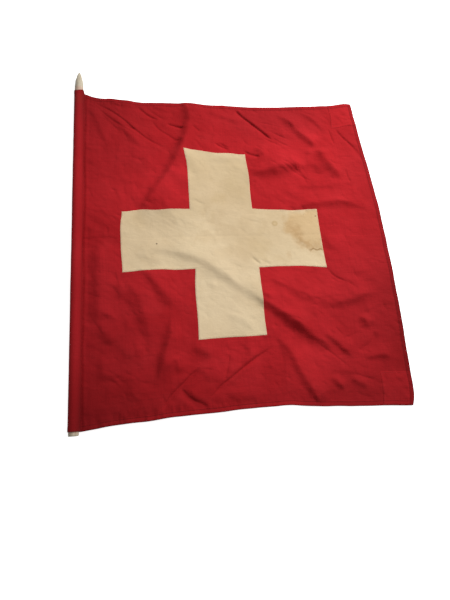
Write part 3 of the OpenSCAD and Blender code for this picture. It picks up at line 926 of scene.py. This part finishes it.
def bare_wood():
    """Pale, greyed wood: grain along the staff, soiled, with red dye where the cloth touches."""
    n = Nodes("bare_wood")
    place_in, _, y = n.places()
    grain = n.drawn_noise(place_in, (260, 7, 260), 5.0, 0.62, 0.5)
    streak = n.drawn_noise(place_in, (90, 2.2, 90), 3.0, 0.5, 0.8)
    grime = n.noise(place_in, 60.0, 5.0, 0.65)
    colour = n.mix(n.span(streak, 0.34, 0.66), (0.44, 0.375, 0.272), (0.56, 0.495, 0.375))
    colour = n.paint(colour, (0.28, 0.205, 0.125), n.span(grain, 0.50, 0.68), 0.55)
    colour = n.paint(colour, (0.33, 0.285, 0.22), n.span(grime, 0.5, 0.75), 0.35)
    top, low = sleeve_hi.y - staff_lo.y, sleeve_lo.y - staff_lo.y
    dyed = n.plus(n.times(n.span(y, top + 0.012, top - 0.002), n.span(y, 0.5, 0.6)),
                  n.times(n.span(y, low - 0.007, low + 0.002), n.span(y, 0.5, 0.4)))
    colour = n.paint(colour, (0.50, 0.22, 0.17), dyed, 0.40)
    length = staff_hi.y - staff_lo.y
    colour = n.mix(n.span(y, length - 0.012, length - 0.001, 0.0, 0.6), colour, (0.20, 0.16, 0.11))
    return n.finish(Base_Color=colour, Roughness=n.span(grain, 0.3, 0.7, 0.55, 0.75),
                    Normal=n.bump(grain, 0.35, 0.0004), Specular_IOR_Level=0.3)


RED = red_cloth("red_cotton", 1.0, 0.32)
RED_PATCH = red_cloth("red_patch_cotton", 1.13, 0.26)
CREAM = cream_cloth()
RED_THREAD = thread("red_thread", (0.34, 0.016, 0.020), (0.20, 0.008, 0.010))
CREAM_THREAD = thread("cream_thread", (0.72, 0.62, 0.43), (0.52, 0.42, 0.26))
WOOD = bare_wood()

# ---------------------------------------------------------------- the cloth's pieces

# Half the cloth's thickness, the width of the step where a hem's second layer ends, and the width
# of its rolled outer edge.
HALF = 0.3
HEM_STEP = 0.4
ROLLED = 1.2
# Grid lines are at most this far apart, and closer at these distances inside a turned edge.
CELL = 3.0
CLOSE_LINES = (0, 0.4, 1.1, 2.2, 3.0, 3.8)
# Layers lie this far apart.
GAP = 0.03


def field_top(a, b):
    """Upper face of the field. The hems' second layer shows through as a slight rise."""
    d = from_edge(a, b)
    return HALF + 0.55 * smooth((HEM + 2.5 - d) / 3.5) - 0.45 * smooth((ROLLED - d) / ROLLED)


def field_bottom(a, b):
    """Lower face of the field, a layer lower under the hems."""
    d = from_edge(a, b)
    second_layer = 0.75 * smooth((HEM + HEM_STEP - d) / HEM_STEP)
    return -HALF - second_layer + 0.45 * smooth((ROLLED - d) / ROLLED)


def cover(distance, thick=0.62, turned=0.32, turn_w=8.0):
    """Height of a sewn-on layer at a distance inside its edge: rounded over, doubled where it is
    turned under, and drawn in along its stitches."""
    rise = smooth((distance + 0.02) / 1.1)
    double = turned * smooth((turn_w - distance) / 2.5)
    furrow = 0.22 * np.exp(-((distance - IN_FROM_EDGE) ** 2))
    return 0.06 + rise * (thick + double) - furrow * rise


def cross_top(a, b):
    """Upper face of the front of the cross."""
    return HALF + cover(inside_cross(a, b))


def cross_under(a, b):
    """Lower face of the back of the cross."""
    return -HALF - cover(inside_cross(a, b))


def patch_distance(a, b):
    """How far inside a corner patch (a, b) is; its outer sides end at the cloth's edges."""
    inner = np.minimum(a - PATCH_A, np.abs(b) - PATCH_B)
    return np.minimum(inner, from_edge(a, b))


def patch_top(a, b):
    """Upper face of a corner patch."""
    return field_top(a, b) + cover(patch_distance(a, b), 0.55, 0.28, 7.0)


def shifted(surface, lift):
    """A surface that is lift higher than the given one, for the hidden face of a layer on it."""
    return lambda a, b: surface(a, b) + lift


def flat_at(lift):
    """A surface at one distance from the field's middle."""
    return lambda a, b: np.full(np.shape(a), lift)


def turned_edge_lines(low, high):
    """Extra grid lines beside a sewn-on layer's edges, for the roll of its turned edge."""
    steps = (*CLOSE_LINES, 5.5, 8.0)
    return [low + s for s in steps] + [high - s for s in steps]


def everywhere(a, b):
    return np.ones(a.shape, bool)


def in_cross(a, b):
    return inside_cross(a, b) > 0


def in_patch(a, b):
    return (a > PATCH_A) & (np.abs(b) > PATCH_B)


# Grid lines through the steps of the hems and of the turned edges.
in_hem_lines = (0.5, ROLLED, HEM, HEM + HEM_STEP, HEM + 2.5)
hem_lines_a = [FLY - d for d in in_hem_lines]
hem_lines_b = [s * (HOIST - d) for s in (1, -1) for d in in_hem_lines]
field_a = [*CROSS_A, *ARM_A, PATCH_A, *hem_lines_a]
field_b = [*CROSS_B, *ARM_B, PATCH_B, -PATCH_B, *hem_lines_b]
cross_a = turned_edge_lines(*CROSS_A) + turned_edge_lines(*ARM_A)
cross_a += [ARM_A[0] - s for s in (0.4, 1.1)] + [ARM_A[1] + s for s in (0.4, 1.1)]
cross_b = turned_edge_lines(*CROSS_B) + turned_edge_lines(*ARM_B)
patch_a = [PATCH_A + s for s in (*CLOSE_LINES, 7.0)] + hem_lines_a
patch_b = [PATCH_B + s for s in (*CLOSE_LINES, 7.0)] + [b for b in hem_lines_b if b > 0]


def make_field(k):
    """The red cloth of one section, with its hems."""
    low, high = CUTS[k], CUTS[k + 1]
    piece = slab(f"field_cloth_{k + 1}", lines_between(low, high, CELL, field_a),
                 lines_between(-HOIST, HOIST, CELL, field_b), everywhere, field_top, field_bottom, RED)
    if k < len(STRIPS):
        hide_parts(f"field_{k + 1}")
    bend_with(piece, k)


def make_cross(k):
    """Both sides of the cross on one section. The first and last sections have none of it."""
    low, high = max(CUTS[k], CROSS_A[0]), min(CUTS[k + 1], CROSS_A[1])
    if high <= low:
        return
    for side, faces in (("front", (cross_top, flat_at(HALF + GAP))),
                        ("back", (flat_at(-HALF - GAP), cross_under))):
        piece = slab(f"cross_{side}_cloth_{k}", lines_between(low, high, CELL, field_a + cross_a),
                     lines_between(*CROSS_B, CELL, field_b + cross_b), in_cross, *faces, CREAM)
        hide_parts(f"cross_{side}_{k}")
        bend_with(piece, k)


def make_patches():
    """The squares that double the two fly corners."""
    last = SECTIONS[-1]
    for name, side in (("top", 1), ("bottom", -1)):
        b_lines = lines_between(PATCH_B, HOIST, CELL, patch_b)
        b_lines = b_lines if side > 0 else -b_lines[::-1]
        piece = slab(f"{name}_patch_cloth", lines_between(PATCH_A, FLY, CELL, patch_a), b_lines,
                     everywhere, patch_top, shifted(field_top, GAP), RED_PATCH)
        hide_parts(f"{name}_patch")
        bend_with(piece, last)


# ---------------------------------------------------------------- stitches

# A stitch's length, the distance from one to the next, and the thread's radius.
STITCH = 2.2
STITCH_PITCH = 3.0
THREAD_R = 0.27


def front_of_hem(a, b):
    """The upper face that the hems' stitches lie on."""
    return np.where(in_patch(a, b), patch_top(a, b), field_top(a, b))


def stitch_places(corners, closed, random):
    """Centres and directions of the stitches along a seam through the corners."""
    ends = corners[1:] + corners[:1] if closed else corners[1:]
    out = []
    for (a0, b0), (a1, b1) in zip(corners, ends):
        length = math.hypot(a1 - a0, b1 - b0)
        count = max(1, round(length / STITCH_PITCH))
        t = (np.arange(count) + 0.5 + random.uniform(-0.06, 0.06, count)) / count
        turn = math.atan2(b1 - b0, a1 - a0) + random.normal(0, 0.05, count)
        out.append(np.stack([a0 + (a1 - a0) * t, b0 + (b1 - b0) * t, turn], -1))
    return np.concatenate(out)


def make_thread(name, places, faces, material, section, nodes):
    """One piece with a stitch at each place, on the front and on the back of the cloth."""
    along = np.array([-0.5, -0.36, 0, 0.36, 0.5]) * STITCH
    # A stitch stands proud in its middle and dives into the cloth at its ends.
    rise = np.array([-0.5, 0.3, 0.55, 0.3, -0.5]) * THREAD_R
    around = np.arange(5) * math.tau / 5
    a, b, turn = (v[:, None, None] for v in places.T)
    reach, lift = along[None, :, None], rise[None, :, None]
    beside = THREAD_R * np.cos(around)[None, None, :]
    above = THREAD_R * np.sin(around)[None, None, :]
    at_a = a + reach * np.cos(turn) - beside * np.sin(turn)
    at_b = b + reach * np.sin(turn) + beside * np.cos(turn)
    all_verts, all_faces, all_cloth, first = [], [], [], 0
    for face, side in zip(faces, (1, -1)):
        heights = face(a, b) + side * (lift + above)
        verts = place(at_a, at_b, heights)
        stitches, rings, sides = verts.shape[:3]
        index = first + np.arange(verts[..., 0].size).reshape(stitches, rings, sides)
        after = np.roll(index, -1, axis=2)
        order = [index[:, :-1], index[:, 1:], after[:, 1:], after[:, :-1]][::side]
        all_faces += np.stack(order, -1).reshape(-1, 4).tolist()
        all_faces += index[:, 0, ::side].tolist() + index[:, -1, ::-side].tolist()
        all_verts.append(verts.reshape(-1, 3))
        all_cloth.append(np.stack([at_a, at_b, heights], -1).reshape(-1, 3) * MM)
        first += verts[..., 0].size
    piece = make_object(name, np.concatenate(all_verts), all_faces, material, np.concatenate(all_cloth))
    if nodes:
        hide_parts(*nodes)
    bend_with(piece, section)


def cross_outline(inset):
    """The cross's twelve corners, moved in from its edge."""
    a0, a1, b0, b1 = CROSS_A[0] + inset, CROSS_A[1] - inset, CROSS_B[0] + inset, CROSS_B[1] - inset
    a2, a3, b2, b3 = ARM_A[0] + inset, ARM_A[1] - inset, ARM_B[0] + inset, ARM_B[1] - inset
    return [(a0, b2), (a2, b2), (a2, b0), (a3, b0), (a3, b2), (a1, b2), (a1, b3), (a3, b3), (a3, b1),
            (a2, b1), (a2, b3), (a0, b3)]


def in_section(places, k):
    """Those of the stitches that are on one section of the cloth."""
    return places[(places[:, 0] >= CUTS[k]) & (places[:, 0] < CUTS[k + 1])]


def make_stitches():
    """Every seam of the cloth, cut into the cloth's sections."""
    random = np.random.RandomState(5)
    inside = HEM - IN_FROM_EDGE
    hem = stitch_places([(SEAM, HOIST - inside), (FLY - inside, HOIST - inside),
                         (FLY - inside, inside - HOIST), (SEAM, inside - HOIST)], False, random)
    cross = stitch_places(cross_outline(IN_FROM_EDGE), True, random)
    for k in SECTIONS:
        nodes = [f"hem_stitches_{k + 1}"] if k < len(STRIPS) else []
        make_thread(f"hem_thread_{k + 1}", in_section(hem, k), (front_of_hem, field_bottom),
                    RED_THREAD, k, nodes)
        on_cross = in_section(cross, k)
        if len(on_cross):
            make_thread(f"cross_thread_{k}", on_cross, (cross_top, cross_under), CREAM_THREAD,
                        k, [f"cross_stitches_{k}"])
    left, right = PATCH_A + IN_FROM_EDGE, FLY - IN_FROM_EDGE
    squares = []
    for side in (1, -1):
        low, high = side * (PATCH_B + IN_FROM_EDGE), side * (HOIST - IN_FROM_EDGE)
        corners = [(left, low), (right, low), (right, high), (left, high)]
        squares.append(stitch_places(corners, True, random))
    make_thread("patch_thread", np.concatenate(squares), (patch_top, field_bottom), RED_THREAD,
                SECTIONS[-1], ["patch_stitches"])
    beside = SEAM + SEAM_FURROW
    seam = stitch_places([(beside, HOIST - 2), (beside, 2 - HOIST)], False, random)
    under_turned_edge = flat_at(TURNED_LIFT - SLEEVE_T / 2)
    make_thread("seam_thread", seam, (field_top, under_turned_edge), RED_THREAD, 0,
                ["sleeve_seam"])


# ---------------------------------------------------------------- the sleeve and the staff

# The middle of the sleeve's cloth goes round at this radius.
SLEEVE_R = STAFF_R + 0.7
SLEEVE_T = 0.6
# The allowance, which is turned in under the field, lies this far below the field's middle.
TURNED_LIFT = -1.3
AXIS_H = AXIS_Z / MM
# How far along the staff the sleeve's ends are shaped, and how far its upper side is drawn back.
END_REACH = 90
DRAWN_BACK = 12


def touching(x, z, side):
    """Angle at which a line from the seam at (x, z) touches the round of the sleeve."""
    z = z - AXIS_H
    return math.atan2(z, x) + side * math.acos(SLEEVE_R / math.hypot(x, z))


def sleeve_line(seam_x, seam_z, under_x, under_z):
    """The middle of the sleeve's cloth across the staff, as places (x, z): from under the seam,
    round the staff and down the slope to the seam's upper side."""
    around = np.linspace(touching(under_x, under_z, -1) + math.tau, touching(seam_x, seam_z, 1), 56)
    rounded = np.stack([SLEEVE_R * np.cos(around), AXIS_H + SLEEVE_R * np.sin(around)], -1)
    below = np.linspace((under_x, under_z), rounded[0], 9)[:-1]
    slope = np.linspace(rounded[-1], (seam_x, seam_z), 13)[1:]
    sag = np.sin(math.pi * np.linspace(0, 1, 13)[1:])
    slope -= np.stack([0.5 * sag, 1.3 * sag], -1)
    return np.concatenate([below, rounded, slope])


def grid_normals(points):
    """Normals of a grid of points, from its neighbours."""
    n = np.cross(np.gradient(points, axis=1), np.gradient(points, axis=0))
    return n / np.linalg.norm(n, axis=-1, keepdims=True)


def sleeve_relief(column, to_seam, b):
    """How far the sleeve's cloth stands off the staff: its slack, gathers by the seam, and hems."""
    girth = column * 1.2 + 0 * b
    slack = 0.26 * (1 + value_noise(girth, b, 34, 43, 1.1, 2.2))
    slack += 0.13 * (1 + value_noise(girth, b, 12, 45, 1.0, 2.5))
    gather = 0.7 * value_noise(to_seam * 0.4, b, 8, 41, 0.0, 2.0) * np.exp(-to_seam / 9)
    from_end = HOIST - np.abs(b)
    furrow = 0.12 * np.exp(-(((from_end - HEM + IN_FROM_EDGE) / 1.6) ** 2))
    return slack + gather + 0.32 * smooth((HEM - from_end) / 2.5) - furrow


def sleeve_points(b_lines):
    """The middle of the sleeve's cloth, in millimetres: a row of places for each height."""
    seam = (place(SEAM, b_lines) - TO_FRAME) / MM
    turned_a = np.linspace(SEAM + ALLOWANCE, SEAM, 7)
    turned = (place(turned_a[None, :], b_lines[:, None], TURNED_LIFT) - TO_FRAME) / MM
    wrapped = np.array([sleeve_line(s[0], s[2], t[0], t[2]) for s, t in zip(seam, turned[:, -1])])
    column = np.arange(wrapped.shape[1])
    left = column[::-1]
    bb = np.broadcast_to(b_lines[:, None], wrapped.shape[:2])

    # The ends stay square to the staff and come in to the field's corners at the seam. The upper
    # side is drawn back from the tip, most of all at the top of the round.
    away = smooth(column / 12) * smooth(left / 14)
    at_top, at_butt = (smooth((side * bb - HOIST + END_REACH) / END_REACH) for side in (1, -1))
    drawn_back = DRAWN_BACK * np.exp(-(((column - 44) / 15) ** 2))
    y = seam[:, 1:2] + away * ((TOP_SAG[0][1] - 2 - drawn_back) * at_top + 1.5 * at_butt)
    points = np.stack([wrapped[..., 0], y, wrapped[..., 1]], -1)

    to_seam = np.linalg.norm(wrapped - seam[:, None, [0, 2]], axis=2)
    loose = smooth((column - 7) / 8) * smooth(left / 6)
    points = points + grid_normals(points) * (sleeve_relief(column, to_seam, bb) * loose)[..., None]
    points = np.concatenate([turned[:, :-1], points], axis=1)
    points[..., 2] = np.maximum(points[..., 2], SLEEVE_T / 2 + 0.05)
    return points


def make_sleeve():
    """The hoist edge of the cloth: from its turned edge under the field, round the staff and
    back down to the seam, where the field goes on from it."""
    b_lines = lines_between(-HOIST, HOIST, CELL, hem_lines_b)
    points = sleeve_points(b_lines)
    n = grid_normals(points)
    outer, inner = points + n * SLEEVE_T / 2, points - n * SLEEVE_T / 2
    steps = np.linalg.norm(np.diff(points, axis=1), axis=2).mean(axis=0)
    travelled = np.concatenate([[0], np.cumsum(steps)])
    a_places = SEAM - travelled[-1] + travelled
    cloth = np.stack(np.broadcast_arrays(a_places[None, :], b_lines[:, None], 0.0), -1)
    cells = np.ones((len(b_lines) - 1, len(a_places) - 1), bool)
    piece = closed_sheet("sleeve_cloth", outer * MM + TO_FRAME, inner * MM + TO_FRAME,
                         (grid_normals(outer), -grid_normals(inner)), cells, cloth * MM, RED)
    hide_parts("sleeve")
    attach(piece, STRIPS[0])


# The staff's bullet-shaped tip: its length and roundness. The bare butt is sanded thinner.
TIP = 72
TIP_POWER = 0.65
BUTT = 10
SANDED = 0.3


def staff_radius(y):
    """Radius of the staff at heights above its butt, in millimetres."""
    tip_base = (staff_hi.y - staff_lo.y) / MM - TIP
    share = np.clip((y - tip_base) / TIP, 0, 1)
    radius = STAFF_R * (1 - share**2) ** TIP_POWER
    return np.where(y < BUTT, STAFF_R - SANDED - 0.9 * (1 - smooth(y / 1.2)), radius)


def make_staff():
    """The wooden staff, turned on a lathe and worn by use."""
    tip_base = (staff_hi.y - staff_lo.y) / MM - TIP
    towards_point = 1 - (1 - np.linspace(0, 1, 44)) ** 2.2
    y = np.concatenate([[0, 0.3, 0.7, 1.2, 3, 6, 9, BUTT - 0.05, BUTT + 0.05],
                        np.arange(16, tip_base, 8), tip_base + TIP * towards_point])
    sides = 64
    yy, turn = np.meshgrid(y, np.arange(sides) * math.tau / sides, indexing="ij")
    worn = 0.10 * (1 + value_noise(turn * 8, yy, 26, 51)) + 0.05 * (1 + value_noise(turn * 9, yy, 6, 53))
    # The wear fades out where the round closes on itself.
    radius = np.maximum(staff_radius(yy) - worn * (0.5 - 0.5 * np.cos(turn)), 0.0)
    local = np.stack([radius * np.cos(turn), yy, radius * np.sin(turn)], -1).reshape(-1, 3) * MM
    index = np.arange(len(y) * sides).reshape(len(y), sides)
    after = np.roll(index, -1, axis=1)
    faces = np.stack([index[:-1], index[1:], after[1:], after[:-1]], -1).reshape(-1, 4).tolist()
    faces.append(index[0].tolist())
    verts = local + np.array([AXIS_X, staff_lo.y, AXIS_Z])
    piece = make_object("turned_staff", verts, faces, WOOD, local)
    piece.data.polygons[len(faces) - 1].use_smooth = False
    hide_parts("staff")
    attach(piece, "staff")


for number in SECTIONS:
    make_field(number)
    make_cross(number)
make_patches()
make_stitches()
make_sleeve()
make_staff()

# ---------------------------------------------------------------- light, floor and camera


def make_floor():
    """A plain pale floor just under the cloth."""
    n = Nodes("pale_floor")
    material = n.finish(Base_Color=(0.93, 0.93, 0.93), Roughness=0.95, Specular_IOR_Level=0.0,
                        Emission_Color=(1, 1, 1), Emission_Strength=0.8)
    half, below_cloth = 60.0, 0.0004
    verts = np.array([[-half, -half, 0], [half, -half, 0], [half, half, 0], [-half, half, 0]])
    floor = make_object("floor", verts, [[0, 1, 2, 3]], material, verts)
    floor.location.z = -below_cloth
    # The white floor would light the cloth's edges from below more than the real one did.
    floor.visible_diffuse = False


def make_light(name, place_m, aim, size, power):
    """A soft round light, size metres across."""
    light = bpy.data.lights.new(name, "AREA")
    light.shape = "DISK"
    light.size = size
    light.energy = power
    obj = bpy.data.objects.new(name, light)
    obj.location = place_m
    obj.rotation_euler = (Vector(aim) - Vector(place_m)).to_track_quat("-Z", "Y").to_euler()
    bpy.context.scene.collection.objects.link(obj)


def make_world(strength):
    """Even white light from all round."""
    world = bpy.data.worlds.new("studio")
    bpy.context.scene.world = world
    world.use_nodes = True
    background = world.node_tree.nodes["Background"]
    background.inputs["Color"].default_value = (1, 1, 1, 1)
    background.inputs["Strength"].default_value = strength


def make_camera():
    """Held in the hand beside the lower hoist corner, tilted and rolled."""
    data = bpy.data.cameras.new("camera")
    data.sensor_width = 36
    data.lens = 26.33
    camera = bpy.data.objects.new("camera", data)
    place_m = Vector((-0.2785, -0.603, 1.272))
    aim = Vector((-0.0605, -0.2261, 0.0))
    roll = math.radians(26.69)
    turn = (aim - place_m).to_track_quat("-Z", "Y").to_matrix().to_4x4()
    camera.matrix_world = Matrix.Translation(place_m) @ turn @ Matrix.Rotation(roll, 4, "Z")
    bpy.context.scene.collection.objects.link(camera)
    bpy.context.scene.camera = camera


make_floor()
make_light("key", place_m=(1.60, 1.81, 2.10), aim=(0, 0, 0), size=1.1, power=118)
make_world(strength=0.29)
make_camera()
bpy.context.scene.view_settings.view_transform = "Standard"
